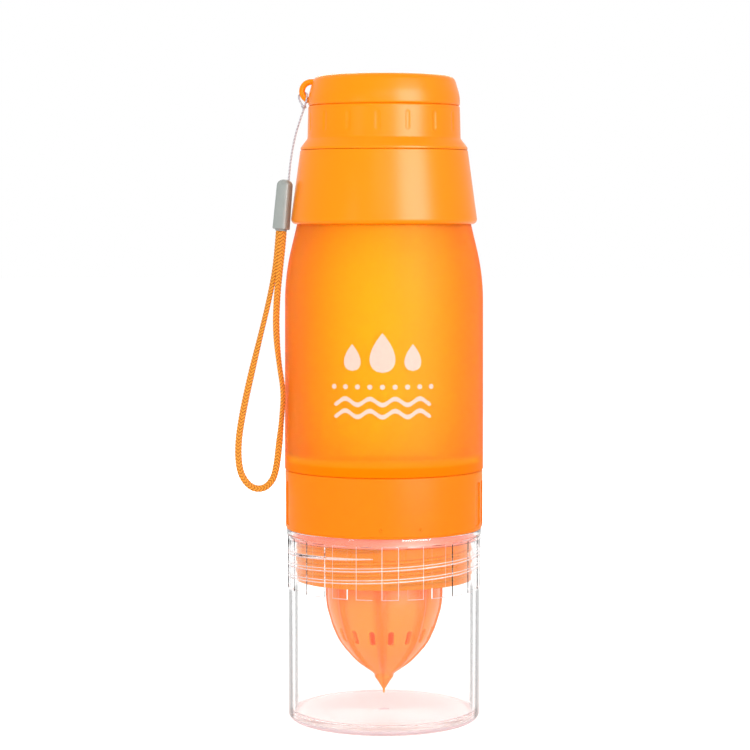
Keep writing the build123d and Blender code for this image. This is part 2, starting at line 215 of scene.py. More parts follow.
def new_material(name, **sockets):
    """A material and its Principled shader, with these sockets set."""
    material = bpy.data.materials.new(name)
    material.use_nodes = True
    shader = material.node_tree.nodes["Principled BSDF"]
    for socket, value in sockets.items():
        shader.inputs[socket.replace("_", " ")].default_value = value
    return material, shader


def finish_piece(piece, material, body, slot, *nodes):
    """Gives a piece its material and its body, and hides the CAD nodes it stands for."""
    piece.data.materials.clear()
    piece.data.materials.append(material)
    if nodes:
        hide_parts(*nodes)
    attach(piece, body)


def select_faces(piece, wanted):
    """Opens a piece in edit mode with only the wanted faces selected."""
    only(piece)
    bpy.ops.object.mode_set(mode="EDIT")
    bpy.ops.mesh.select_mode(type="FACE")
    bpy.ops.mesh.select_all(action="DESELECT")
    bpy.ops.object.mode_set(mode="OBJECT")
    for face in piece.data.polygons:
        face.select = wanted(face)
    bpy.ops.object.mode_set(mode="EDIT")


def on_pad(face):
    """Whether a face of the cup's outside is one that a grip pad rises from."""
    middle = face.center / MM
    column = (bearing(middle) - PAD_START) % (360 / PADS) * CUP_STEPS / 360
    on_wall = math.hypot(*middle.xy) > CUP_RADIUS - 0.2 and PAD_FOOT < middle.z < PAD_TOP
    return on_wall and column < PAD_COLUMNS


cup = turned("cup", softened([
    (0, 1.15, 0), (2.5, 1.15, 0.2), (2.75, 0.9, 0.1), (22.3, 0.9, 0.5), (22.9, 0, 0.3),
    (CUP_RADIUS, 0, 2.6), (CUP_RADIUS, PAD_FOOT, 0), (CUP_RADIUS, PAD_TOP, 0),
    (CUP_RADIUS, 70.4, 0.2), (36.95, 70.9, 0.3), (36.95, 73.0, 0.3), (35.0, 73.0, 0.3),
    (35.0, 69.1, 0), (CUP_BORE, 69.1, 0.2), (CUP_BORE, PAD_FOOT, 0), (CUP_BORE, 3.2, 2.0),
    (2.1, 3.2, 0.1), (1.8, 2.95, 0.1), (0, 2.95, 0)]), start=PAD_START)
select_faces(cup, on_pad)
bpy.ops.mesh.inset(thickness=0.3 * MM, depth=PAD_RELIEF * MM)
bpy.ops.mesh.select_mode(type="VERT")
bpy.ops.object.mode_set(mode="OBJECT")
for vertex in cup.data.vertices:
    raised = math.hypot(*vertex.co.xy) > (CUP_RADIUS + 0.15) * MM
    if raised and (PAD_TOP - 1) * MM < vertex.co.z < PAD_TOP * MM:
        vertex.co.z = RIM_EDGE * MM
for front, low in ((57.3, 52.9), (61.65, 55.1)):
    combine(cup, thread_bar(CUP_BORE, -0.52, low, 66.1, front, THREAD_LEAD), "UNION")
smooth(cup, 30)

# Clear styrene, polished by its mould: colourless, with painted shade that greys it where the
# wall turns away from the eye, and pale pink where the wall is seen edge-on above the pad foot.
# The thick floor is milky with a trace of pink, most at its edge and its gate mark.
clear_styrene, shader = new_material("clear_styrene", Roughness=0.02, IOR=1.5,
                                     Specular_Tint=(0.55, 0.55, 0.55, 1))
# Painted shade: the wall's colour is taken down to grey as it turns away from the eye.
facing = add_node(clear_styrene, "LayerWeight", {"Blend": 0.5}).outputs["Facing"]
painted_turn_grey = add_node(clear_styrene, "MapRange", {"Value": facing, "From Min": 0.66,
                   "From Max": 0.74, "To Min": 1.0, "To Max": 0.06})
edge_on = add_node(clear_styrene, "MapRange", {"Value": facing, "From Min": 0.85,
                   "From Max": 0.93, "To Min": 0.0, "To Max": 0.8})
painted_grey_level = add_node(clear_styrene, "Math", {0: painted_turn_grey.outputs["Result"],
                     1: edge_on.outputs["Result"]}, operation="MAXIMUM")
place = add_node(clear_styrene, "TexCoord").outputs["Object"]
axes = add_node(clear_styrene, "SeparateXYZ", {0: place}).outputs
by_pads = add_node(clear_styrene, "MapRange", {"Value": axes["Z"],
                   "From Min": 50 * MM, "From Max": 50.6 * MM, "To Max": 0.7})
painted_grey_level = add_node(clear_styrene, "Math", {0: painted_grey_level.outputs[0],
                     1: by_pads.outputs["Result"]}, operation="MAXIMUM")
flat = add_node(clear_styrene, "CombineXYZ", {"X": axes["X"], "Y": axes["Y"]})
reach = add_node(clear_styrene, "VectorMath", {0: flat.outputs[0]}, operation="LENGTH")
at_edge = add_node(clear_styrene, "MapRange", {"Value": reach.outputs["Value"],
                   "From Min": 33.5 * MM, "From Max": 35.5 * MM})
at_gate = add_node(clear_styrene, "MapRange", {"Value": reach.outputs["Value"],
                   "From Min": 2.3 * MM, "From Max": 1.9 * MM, "To Max": 0.8})
tinted = add_node(clear_styrene, "Math", {0: at_edge.outputs["Result"],
                  1: at_gate.outputs["Result"]}, operation="MAXIMUM")
floor_tint = add_node(clear_styrene, "Mix", {"Factor": tinted.outputs[0],
                      "A": linear("#F8EDEC"), "B": linear("#E3C8CD")}, data_type="RGBA")
level = add_node(clear_styrene, "Math", {0: at_edge.outputs["Result"], 1: 1.9 * MM,
                 2: axes["Z"]}, operation="MULTIPLY_ADD")
above_floor = add_node(clear_styrene, "MapRange", {"Value": level.outputs[0],
                       "From Min": 3.6 * MM, "From Max": 4.2 * MM}).outputs["Result"]
rosy = add_node(clear_styrene, "Math", {0: edge_on.outputs["Result"],
                1: by_pads.outputs["Result"]}, operation="MULTIPLY")
wall_tint_and_shade = add_node(clear_styrene, "Mix", {"Factor": rosy.outputs[0],
                     "A": painted_grey_level.outputs[0], "B": linear("#F7DFE3")}, data_type="RGBA")
tint = add_node(clear_styrene, "Mix", {"Factor": above_floor,
                "A": floor_tint.outputs["Result"], "B": wall_tint_and_shade.outputs["Result"]},
                data_type="RGBA")
glass = add_node(clear_styrene, "MapRange", {"Value": above_floor, "To Min": 0.5})
feed(shader, "Base Color", tint.outputs["Result"])
feed(shader, "Transmission Weight", glass.outputs["Result"])
finish_piece(cup, clear_styrene, "base", "clear_plastic", "base_cup")
cup.visible_shadow = False
cup.visible_diffuse = False

# The thread's flanks and the pads' sloping sides get a pale hazy finish, so they draw fine lines:
# the thread's flanks, the lower ends of the pads, and the pads' sides towards left and right. On
# the pads this is a painted highlight, put only on the slopes that face left, right and down.
hazy_and_painted_lines, shader = new_material("clear_styrene_soft_edges", Roughness=0.35, IOR=1.5,
                                  Transmission_Weight=0.45)
place = add_node(hazy_and_painted_lines, "TexCoord").outputs["Object"]
speckle = add_node(hazy_and_painted_lines, "TexNoise", {"Vector": place, "Scale": 1 / (4 * MM)})
hazy_and_lit_colour = add_node(hazy_and_painted_lines, "Mix", {"Factor": speckle.outputs["Fac"],
                "A": linear("#F0E2E2"), "B": linear("#FAF2F2")}, data_type="RGBA")
feed(shader, "Base Color", hazy_and_lit_colour.outputs["Result"])
cup.data.materials.append(hazy_and_painted_lines)
# Painted highlight: of the pads' slopes, only those facing left, right or down take the pale
# material.
for face in cup.data.polygons:
    corners = [cup.data.vertices[index].co / MM for index in face.vertices]
    reaches = [math.hypot(*corner.xy) for corner in corners]
    heights = [corner.z for corner in corners]
    on_slope = max(reaches) > CUP_RADIUS + 0.15 and min(reaches) < CUP_RADIUS + 0.05
    on_slope = on_slope and PAD_FOOT - 0.5 < min(heights) and max(heights) < RIM_EDGE + 0.1
    along = face.normal.x * -face.center.y + face.normal.y * face.center.x
    outward = -along * face.center.x * face.center.y > 0 or face.normal.z < -0.5
    on_flank = min(reaches) < CUP_BORE - 0.1 and max(reaches) > CUP_BORE - 0.05
    on_flank = on_flank and PAD_FOOT - 0.5 < min(heights) < PAD_TOP - 1
    face.material_index = 1 if on_slope and outward and face.normal.z < 0.3 or on_flank else 0


# Gaskets. Four soft silicone rings: a tall one in the cup's rim, which shows as a pale pink
# band through the clear wall, and three flat ones that the bottle, the collar and the cap
# press on. Each is moulded with rounded edges and lies loose in its seat.
silicone, shader = new_material("pink_silicone", Roughness=0.45, IOR=1.41,
                                Subsurface_Weight=0.4, Subsurface_Scale=2 * MM)
place = add_node(silicone, "TexCoord").outputs["Object"]
cloud = add_node(silicone, "TexNoise", {"Vector": place, "Scale": 1 / (9 * MM)})
flesh = add_node(silicone, "Mix", {"Factor": cloud.outputs["Fac"],
                 "A": linear("#FF8063"), "B": linear("#FF9074")}, data_type="RGBA")
feed(shader, "Base Color", flesh.outputs["Result"])
for name, body, node, inner, outer, low, high in (
        ("cup_seal_ring", "cup_seal", "cup_gasket", 33.1, 34.9, 69.2, 73.0),
        ("bottle_seal_ring", "bottle_seal", "bottle_gasket", 31.4, 34.3, 75.7, 77.6),
        ("neck_seal_ring", "collar_seal", "neck_gasket", 26.1, 29.0, 210.7, 212.6),
        ("spout_seal_ring", "cap_seal", "cap_gasket", 21.4, 24.3, 231.1, 233.1)):
    ring = turned(name, softened([(inner, low, 0.3), (outer, low, 0.3), (outer, high, 0.3),
                                  (inner, high, 0.3)], 4))
    smooth(ring)
    finish_piece(ring, silicone, body, "silicone", node)

# Juicer. One polypropylene moulding: the grip ring that shows, and the threaded skirt and
# plate behind the clear cup. Recessed grips are cut in its left and right sides.
GRIP_PITCH = 11.5


def joined(pieces):
    """Joins several meshes into the first."""
    only(pieces[0])
    for piece in pieces:
        piece.select_set(True)
    if len(pieces) > 1:
        bpy.ops.object.join()
    return pieces[0]


def round_edges(piece, direction, rounding, segments):
    """Bevels the edges of a block that run one way, by a rounding in mm."""
    only(piece)
    bpy.ops.object.mode_set(mode="EDIT")
    bpy.ops.mesh.select_mode(type="EDGE")
    bpy.ops.mesh.select_all(action="DESELECT")
    bpy.ops.object.mode_set(mode="OBJECT")
    for edge in piece.data.edges:
        one, two = (piece.data.vertices[index].co for index in edge.vertices)
        edge.select = abs((one - two).normalized().dot(direction)) > 0.9
    bpy.ops.object.mode_set(mode="EDIT")
    bpy.ops.mesh.bevel(offset=rounding * MM, segments=segments)
    bpy.ops.mesh.select_mode(type="VERT")
    bpy.ops.object.mode_set(mode="OBJECT")


def rounded_bar(centre, size, rounding, turn):
    """A block at the front with its long edges rounded, turned about the bottle's axis."""
    bpy.ops.object.select_all(action="DESELECT")
    bpy.ops.mesh.primitive_cube_add(size=1)
    bar = bpy.context.object
    bpy.ops.object.mode_set(mode="EDIT")
    bpy.ops.mesh.select_all(action="SELECT")
    bpy.ops.transform.resize(value=[side * MM for side in size])
    bpy.ops.object.mode_set(mode="OBJECT")
    round_edges(bar, Vector((0, 1, 0)), rounding, 6)
    move = Matrix.Rotation(math.radians(turn), 4, "Z") @ Matrix.Translation(Vector(centre) * MM)
    bar.data.transform(move)
    return bar


juicer = turned("juicer_ring", softened([
    (20.5, 53.7, 0), (33.0, 53.7, 0.4), (33.0, 73.1, 0),
    (36.95, 73.1, 0.2), (36.95, 73.7, 0), (37.3, 73.95, 0.15), (37.3, 95.5, 0.8),
    (34.6, 95.5, 0.3), (34.6, 75.6, 0), (30.8, 75.6, 0.3),
    (30.8, 56.0, 1.0), (20.5, 56.0, 0)]))
combine(juicer, joined([
    rounded_bar((0, -37.4, 83.15), (5.7, 1.2, 16.3), 1.2,
                side - 2.75 + GRIP_PITCH * (number - 1.5))
    for side in (-90, 90) for number in range(4)]))
juicer = joined([juicer, thread_bar(33.0, 0.5, 54.9, 68.1, 59.5, THREAD_LEAD),
                 thread_bar(33.0, 0.5, 54.9, 68.1, 63.85, THREAD_LEAD),
                 thread_bar(34.6, -0.25, 79.0, 92.0, 80.0)])
for turn in (-2, 21):         # the two tiny pips that the mould leaves over the ring's edge
    bpy.ops.mesh.primitive_uv_sphere_add(segments=16, ring_count=8, radius=0.55 * MM)
    pip = bpy.context.object
    pip.data.transform(Matrix.Rotation(math.radians(turn), 4, "Z")
                       @ Matrix.Translation(Vector((0, -37.2, 76.4)) * MM))
    juicer = joined([juicer, pip])
smooth(juicer)


def moulded_plastic(name, colour, roughness, gloss, glow, depth=3.0):
    """Satin polypropylene: a fine sparked grain, slight flow marks, and light that soaks a
    little way in. glow is how much of the light goes in, and depth how far, in mm."""
    material, shader = new_material(name, Roughness=roughness, IOR=1.49, Specular_IOR_Level=gloss,
                                    Subsurface_Weight=glow, Subsurface_Scale=depth * MM)
    shader.inputs["Subsurface Radius"].default_value = (1.0, 0.45, 0.15)
    place = add_node(material, "TexCoord").outputs["Object"]
    flow = add_node(material, "TexNoise", {"Vector": place, "Scale": 1 / (18 * MM)})
    shade = add_node(material, "HueSaturation", {"Color": linear(colour)})
    level = add_node(material, "MapRange",
                     {"Value": flow.outputs["Fac"], "To Min": 0.975, "To Max": 1.02})
    feed(shade, "Value", level.outputs["Result"])
    feed(shader, "Base Color", shade.outputs["Color"])
    spark = add_node(material, "TexNoise",
                     {"Vector": place, "Scale": 1 / (0.35 * MM), "Detail": 2.0})
    relief = add_node(material, "Bump", {"Height": spark.outputs["Fac"],
                      "Strength": 0.12, "Distance": 0.05 * MM})
    feed(shader, "Normal", relief.outputs["Normal"])
    return material


juicer_plastic = moulded_plastic("satin_polypropylene_juicer", "#FF8412", 0.4, 0.05, 0.4, 4.0)
finish_piece(juicer, juicer_plastic, "juicer", "juicer_plastic", "juicer")

# Reamer. The fruit cone under the juicer's plate, hollow and open upwards, with 8 rounded
# ridges, a juice slot each side of every ridge, and a small spike with the mould's gate.
REAMER = [(21.4, 54.8), (21.4, 48.1), (21.2, 45.0), (20.7, 41.9), (19.8, 38.85), (18.85, 35.8),
          (17.65, 32.7), (16.15, 29.8), (14.1, 27.0), (11.45, 24.0), (8.2, 20.9), (4.6, 17.8)]
RIDGES = 8
RIDGE_PITCH = 360 / RIDGES
RIDGE_START = -3.0        # degrees right of the front
RIDGE_HEIGHT = 0.9        # and half its width; it runs out towards the nose
RIDGE_HALF = 1.75
NOSE_HEIGHT = 17.6


def curve_through(points, steps):
    """Corners on a smooth line through points of radius and height."""
    points = [Vector(point) for point in points]
    ends = [points[0] * 2 - points[1]] + points + [points[-1] * 2 - points[-2]]
    line = []
    for p0, p1, p2, p3 in zip(ends, ends[1:], ends[2:], ends[3:]):
        for step in range(steps):
            t = step / steps
            line.append(0.5 * (2 * p1 + (p2 - p0) * t + (2 * p0 - 5 * p1 + 4 * p2 - p3) * t * t
                               + (3 * p1 - p0 - 3 * p2 + p3) * t ** 3))
    return [(point.x, point.y, 0) for point in line + [points[-1]]]


outside = curve_through(REAMER, 5)
inside = curve_through([(radius - 1.75, height + 0.8) for radius, height in REAMER[1:-1]], 2)
reamer = turned("reamer", softened([
    (0, 9.4, 0), (0.3, 9.5, 0), (0.42, 11.0, 0.3), (2.5, 14.3, 0.3), (3.55, 15.7, 0.3),
    (3.75, 16.8, 0.2)] + outside[::-1] + [(19.5, 54.8, 0)] + inside + [(0, 19.8, 0)]),
    steps=384, start=RIDGE_START)
normals = [vertex.normal.copy() for vertex in reamer.data.vertices]
on_cone = {(round(radius, 2), round(height, 2)) for radius, height, rounding in outside}
for vertex, normal in zip(reamer.data.vertices, normals):
    reach = math.hypot(vertex.co.x, vertex.co.y) / MM
    if (round(reach, 2), round(vertex.co.z / MM, 2)) in on_cone:
        angle = (bearing(vertex.co) - RIDGE_START + RIDGE_PITCH / 2) % RIDGE_PITCH
        off = math.radians(angle - RIDGE_PITCH / 2) * reach / RIDGE_HALF
        rise = RIDGE_HEIGHT * min(1, 0.2 + (vertex.co.z / MM - NOSE_HEIGHT) / 5)
        vertex.co += normal * rise * MM * max(0, 1 - off * off) ** 1.6
combine(reamer, joined([
    rounded_bar((0, -18.5, 33.2), (2.2, 12.0, 5.4), 0.9,
                RIDGE_START + RIDGE_PITCH / 4 + RIDGE_PITCH / 2 * number)
    for number in range(2 * RIDGES)]))
smooth(reamer, 50)
# The same plastic, but polished and thin enough for light to show through the cone. Its ridges
# are painted a deeper colour where the plastic is thicker, as painted shade where less light
# comes through.
cone_plastic = moulded_plastic("polished_polypropylene_reamer", "#FF9234", 0.3, 0.25, 0.4, 3.0)
tree = cone_plastic.node_tree
place = next(node for node in tree.nodes if node.type == "TEX_COORD").outputs["Object"]
shade = next(node for node in tree.nodes if node.type == "HUE_SAT")
axes = add_node(cone_plastic, "SeparateXYZ", {0: place}).outputs
around = add_node(cone_plastic, "Math", {0: axes["Y"], 1: axes["X"]},
                  operation="ARCTAN2")
around = add_node(cone_plastic, "Math", {0: around.outputs[0], 1: RIDGES,
                  2: math.radians(-RIDGES * RIDGE_START)}, operation="MULTIPLY_ADD")
ridged = add_node(cone_plastic, "Math", {0: around.outputs[0]}, operation="COSINE")
# Painted shade: the colour deepens towards each ridge's crest.
thick = add_node(cone_plastic, "MapRange", {"Value": ridged.outputs[0],
                 "From Min": 0.2, "From Max": 1.0})
painted_deepening = add_node(cone_plastic, "Mix", {"Factor": thick.outputs["Result"],
                  "A": linear("#FF943A"), "B": linear("#FF7E1E")}, data_type="RGBA")
feed(shade, "Color", painted_deepening.outputs["Result"])
finish_piece(reamer, cone_plastic, "juicer", "juicer_plastic")
# Its inside and the walls of its slots get a painted glow, a faint red emission for light through
# the cone.
cone_inside = cone_plastic.copy()
cone_inside.name = "polished_polypropylene_reamer_inside"
inner_shader = cone_inside.node_tree.nodes["Principled BSDF"]
inner_shader.inputs["Emission Color"].default_value = (1, 0.2, 0.06, 1)
inner_shader.inputs["Emission Strength"].default_value = 0.35
reamer.data.materials.append(cone_inside)
for face in reamer.data.polygons:
    spoke = Vector((face.center.x, face.center.y, 0)).normalized()
    face.material_index = 1 if face.normal.dot(spoke) < 0.15 and face.center.z > 20 * MM else 0

# Bottle body. A frosted translucent copolyester shell, blow moulded and open at both ends,
# with a thread on its spigot below and on its neck above. Its inside is lit through its wall.
bottle = turned("bottle", softened([
    (31.6, 77.7, 0), (34.0, 77.7, 0.5), (34.0, 95.6, 0),
    (37.5, 95.6, 0.15), (37.3, 168.5, 84.0), (32.75, 187.5, 0), (32.25, 189.6, 2.0),
    (29.0, 193.1, 2.0), (29.0, 210.6, 0.5), (26.6, 210.6, 0.5),
    (26.6, 191.9, 2.0), (30.55, 187.5, 2.0), (35.1, 168.24, 81.8), (35.3, 97.8, 1.0),
    (31.6, 95.6, 1.0)], 8))
bottle = joined([bottle, thread_bar(34.0, 0.25, 79.4, 92.4, 82.1),
                 thread_bar(29.0, 0.25, 195.6, 208.6, 198.2)])
smooth(bottle)
# Its faint red emission is a painted glow.
frosted, shader = new_material("frosted_copolyester", Roughness=0.55, IOR=1.54,
                               Subsurface_Weight=0.2, Subsurface_Scale=6 * MM,
                               Specular_Tint=(0.1, 0.1, 0.1, 1), Specular_IOR_Level=0.05,
                               Emission_Color=(1, 0.12, 0, 1), Emission_Strength=0.03)
shader.inputs["Subsurface Radius"].default_value = (1.0, 0.4, 0.1)
facing = add_node(frosted, "LayerWeight", {"Blend": 0.5}).outputs["Facing"]
place = add_node(frosted, "TexCoord").outputs["Object"]
# Frosted copolyester, with painted glow: yellow where the wall faces the eye and redder where it
# turns away, standing in for light from behind glowing through it. The spigot backs its foot,
# which lets less light through and is painted the deeper red, as shade.
height = add_node(frosted, "SeparateXYZ", {0: place}).outputs["Z"]
# Painted shade: the colour deepens to red towards the foot.
painted_deepening = add_node(frosted, "MapRange", {"Value": height, "From Min": 104.5 * MM,
                  "From Max": 98.5 * MM})
foot = add_node(frosted, "MapRange", {"Value": height, "From Min": 102.5 * MM,
                "From Max": 98 * MM})
thickness = add_node(frosted, "MapRange", {"Value": facing, "From Max": 0.8})
thickness = add_node(frosted, "Math", {0: thickness.outputs["Result"],
                     1: painted_deepening.outputs["Result"]}, operation="MAXIMUM")
painted_glow_and_shade = add_node(frosted, "Mix", {"Factor": thickness.outputs[0],
               "A": (1.0, 0.66, 0.03, 1), "B": (1.0, 0.2, 0.0, 1)}, data_type="RGBA")
frost = add_node(frosted, "TexNoise",
                 {"Vector": place, "Scale": 1 / (0.5 * MM), "Detail": 3.0})
relief = add_node(frosted, "Bump", {"Height": frost.outputs["Fac"],
                  "Strength": 0.15, "Distance": 0.05 * MM})
depth = add_node(frosted, "MapRange", {"Value": facing, "From Min": 0.45,
                 "From Max": 0.95, "To Min": 0.8, "To Max": 0.25})
depth = add_node(frosted, "Math", {0: depth.outputs["Result"],
                 1: foot.outputs["Result"]}, operation="SUBTRACT", use_clamp=True)
feed(shader, "Transmission Weight", depth.outputs[0])
feed(shader, "Base Color", painted_glow_and_shade.outputs["Result"])
feed(shader, "Normal", relief.outputs["Normal"])
finish_piece(bottle, frosted, "bottle", "frosted_plastic", "bottle_body")

# Print. Plain drops, dots and waves in pale ink, screen printed on the front of the body.
PRINT_CENTRE = -0.7       # mm right of the front, measured round the body


def printed(name, columns, rows, place):
    """A patch of ink: place turns a grid's shares across and up into mm across and up."""
    bpy.ops.object.select_all(action="DESELECT")
    bpy.ops.mesh.primitive_grid_add(x_subdivisions=columns, y_subdivisions=rows, size=1)
    patch = bpy.context.object
    patch.name = patch.data.name = name
    for vertex in patch.data.vertices:
        across, up = place(vertex.co.x + 0.5, vertex.co.y + 0.5)
        reach = 37.53 - 0.00274 * (up - 95.6)
        turn = (across + PRINT_CENTRE) / reach
        vertex.co = Vector((reach * math.sin(turn), -reach * math.cos(turn), up)) * MM
    bpy.ops.object.mode_set(mode="EDIT")
    weld()
    bpy.ops.object.mode_set(mode="OBJECT")
    bpy.ops.object.modifier_add(type="SOLIDIFY")
    patch.modifiers[-1].thickness = 0.06 * MM
    patch.modifiers[-1].offset = -1
    bpy.ops.object.modifier_apply(modifier=patch.modifiers[-1].name)
    smooth(patch)
    return patch


def drop(centre, low, tall, wide):
    """A water drop's outline, filled from side to side."""
    return lambda u, v: (centre + (2 * u - 1) * wide / 2 * v ** 0.5 * (1 - v) / 0.385,
                         low + tall * v)


def dot(centre, middle, size):
    return lambda u, v: (centre + (2 * u - 1) * size * (v - v * v) ** 0.5,
                         middle + size * (v - 0.5))


def wave(middle, thick):
    return lambda u, v: (37.0 * (u - 0.5), middle - 1.1 * math.cos(math.tau * 4 * u)
                         + thick * (v - 0.5) * min(1, 40 * u + 0.1, 40 * (1 - u) + 0.1))


marks = [printed("printed_drop", 24, 32, drop(0, 134.0, 14.4, 9.4)),
         printed("printed_drop", 18, 24, drop(-11.2, 134.6, 9.8, 6.4)),
         printed("printed_drop", 18, 24, drop(11.2, 134.6, 9.8, 6.4)),
         printed("printed_wave", 120, 2, wave(123.4, 1.7)),
         printed("printed_wave", 120, 2, wave(119.0, 1.7))]
marks += [printed("printed_dot", 8, 12, dot(4.6 * number, 128.8, 1.9)) for number in range(-4, 5)]
marks = joined(marks)
marks.name = marks.data.name = "printed_marks"
# Screen ink: matt, and mottled a little where the mesh let less of it through.
ink, shader = new_material("pale_screen_ink", Roughness=0.55, Specular_IOR_Level=0.1)
place = add_node(ink, "TexCoord").outputs["Object"]
grain = add_node(ink, "TexNoise", {"Vector": place, "Scale": 1 / (1.5 * MM)})
cover = add_node(ink, "Mix", {"Factor": grain.outputs["Fac"],
                 "A": linear("#EBBFB0"), "B": linear("#F5C9B8")}, data_type="RGBA")
feed(shader, "Base Color", cover.outputs["Result"])
finish_piece(marks, ink, "bottle", "frosted_plastic")

# Spout collar. An opaque polypropylene shoulder, screwed over the neck, with the drinking
# spout moulded on it. The spout carries the cap's thread.
collar = turned("collar", softened([
    (32.9, 187.6, 0.3), (35.25, 187.6, 1.9), (31.45, 215.2, 0.45), (24.0, 215.2, 0.8),
    (24.0, 231.0, 0.8), (21.5, 231.0, 0.8), (21.5, 212.7, 0),
    (29.6, 212.7, 0), (29.6, 193.7, 0.5), (32.9, 190.4, 1.0)]))
collar = joined([collar, thread_bar(24.0, 0.25, 218.0, 228.6, 219.6),
                 thread_bar(29.6, -0.25, 196.2, 209.4, 200.3)])
smooth(collar)
lid_plastic = moulded_plastic("satin_polypropylene_lid", "#FF8C03", 0.32, 0.14, 0.05)
finish_piece(collar, lid_plastic, "collar", "orange_plastic", "spout_collar")

# Cap insert. The inner threaded cup of the cap, pressed into the outer pieces and closed
# above the spout.
insert = turned("cap_inner", softened([
    (0, 233.2, 0), (24.6, 233.2, 0), (24.6, 217.0, 0.3),
    (26.6, 217.0, 0.5), (26.6, 235.2, 1.0), (0, 235.2, 0)]))
insert = joined([insert, thread_bar(24.6, -0.25, 219.4, 230.0, 221.7)])
smooth(insert)
finish_piece(insert, lid_plastic, "cap", "orange_plastic", "cap_insert")

# Cap sleeve. The outer band of the cap, moulded with a flared skirt and 16 shallow grip
# grooves with round ends. The grooves are pressed into the wall's closely spaced points.
GROOVE_START = -5.1       # degrees right of the front
GROOVE_PITCH = 22.5
GROOVE_MIDDLE = 225.7
GROOVE_HALF = 1.15        # half its width; its straight part is 2.7 mm up and down
GROOVE_DEPTH = 0.22

sleeve = turned("cap_band", softened([
    (29.5, 215.3, 0), (31.35, 215.3, 0.3), (31.35, 216.2, 0.6), (28.75, 219.6, 1.0),
    *[(28.72 - 0.01 * ring, 220.6 + 0.35 * ring, 0) for ring in range(29)],
    (28.4, 231.8, 0.75), (26.75, 231.8, 0), (26.75, 219.0, 0)]), steps=720)
for vertex in sleeve.data.vertices:
    reach = math.hypot(vertex.co.x, vertex.co.y) / MM
    if reach > 28.0:
        turn = (bearing(vertex.co) - GROOVE_START + GROOVE_PITCH / 2) % GROOVE_PITCH
        aside = math.radians(turn - GROOVE_PITCH / 2) * reach
        beyond = max(0, abs(vertex.co.z / MM - GROOVE_MIDDLE) - 2.7)
        off = math.hypot(aside, beyond) / GROOVE_HALF
        press = GROOVE_DEPTH * max(0, 1 - off * off) ** 1.5
        vertex.co.x *= 1 - press / reach
        vertex.co.y *= 1 - press / reach
smooth(sleeve)
finish_piece(sleeve, lid_plastic, "cap", "orange_plastic", "cap_sleeve")

# Cap top. The domed cover, set on the sleeve with a fine groove between them. The strap's eye
# is moulded on its side: a round bar drawn out of the dome, bent down and let in again.
dome = turned("cap_dome", softened([
    (0, 241.2, 0), (24.4, 241.2, 1.0), (26.75, 237.2, 1.0), (26.75, 231.8, 0),
    (28.45, 231.8, 0.8), (28.45, 235.4, 15.0), (26.2, 243.0, 3.2), (0, 243.0, 0)]))
smooth(dome)
finish_piece(dome, lid_plastic, "cap", "orange_plastic", "cap_top")

EYE = Vector((-27.25, 0, 237.3)) * MM
bpy.ops.object.select_all(action="DESELECT")
bpy.ops.mesh.primitive_circle_add(vertices=28, radius=1.12 * MM)
eye = bpy.context.object
eye.name = eye.data.name = "strap_eye"
eye.data.transform(Matrix.Translation(EYE + Vector((0, 0, 3.5)) * MM)
                   @ Matrix.Rotation(math.radians(90), 4, "Y"))
bpy.ops.object.mode_set(mode="EDIT")
bpy.ops.mesh.select_all(action="SELECT")
bpy.ops.mesh.spin(steps=32, angle=math.pi, center=EYE, axis=(0, 1, 0))
bpy.ops.mesh.select_all(action="DESELECT")
bpy.ops.mesh.select_non_manifold()
bpy.ops.mesh.extrude_region_move(TRANSFORM_OT_translate={"value": (1.45 * MM, 0, 0)})
close_ends()
smooth(eye)
finish_piece(eye, lid_plastic, "cap", "orange_plastic")

# Strap thread. A thin pale polyester thread of two plies, hitched round the eye's bar, knotted
# under it, and let into the top of the grey clip. It follows the same route as the solid.
CLIP_FOOT = EYE + Vector((-11.35, -4.2, -51.6)) * MM
CLIP_TOP = EYE + Vector((-9.75, -3.6, -33.1)) * MM
THREAD_ROUTE = [
    (-8.60, -3.75, -34.70), (-8.15, -3.30, -29.30), (-7.30, -2.70, -22.80),
    (-5.95, -2.00, -16.10), (-3.95, -1.45, -9.80), (-2.55, -1.30, -6.00), (-1.75, -1.75, -3.30),
    (-1.55, -1.25, -1.60), (-1.60, 0.15, -0.90), (-2.50, 1.60, -0.40), (-4.10, 1.50, -0.80),
    (-4.90, 0.40, -1.90), (-4.35, -0.70, -3.80), (-3.10, -1.15, -5.50)]
PLY_LAY = 2.6             # mm for one turn of the plies


def cord_line(route, spacing):
    """The smooth line of a cord: a NURBS spline with the route as its control points, read
    back as points this many mm apart."""
    data = bpy.data.curves.new("route", "CURVE")
    data.dimensions = "3D"
    data.resolution_u = 24
    spline = data.splines.new("NURBS")
    spline.points.add(len(route) - 1)
    for point, place in zip(spline.points, route):
        point.co = (*place, 1)
    spline.order_u = 3
    spline.use_endpoint_u = True
    curve = bpy.data.objects.new("route", data)
    bpy.context.collection.objects.link(curve)
    mesh = bpy.data.meshes.new_from_object(curve)
    knots = [vertex.co.copy() for vertex in mesh.vertices]
    bpy.data.objects.remove(curve)
    bpy.data.meshes.remove(mesh)
    lengths = [0.0]
    for one, two in zip(knots, knots[1:]):
        lengths.append(lengths[-1] + (two - one).length)
    count = max(2, round(lengths[-1] / (spacing * MM)))
    line, run = [], 0
    for number in range(count + 1):
        reach = lengths[-1] * number / count
        while run < len(knots) - 2 and lengths[run + 1] < reach:
            run += 1
        share = (reach - lengths[run]) / (lengths[run + 1] - lengths[run])
        line.append(knots[run].lerp(knots[run + 1], share))
    return line, lengths[-1]


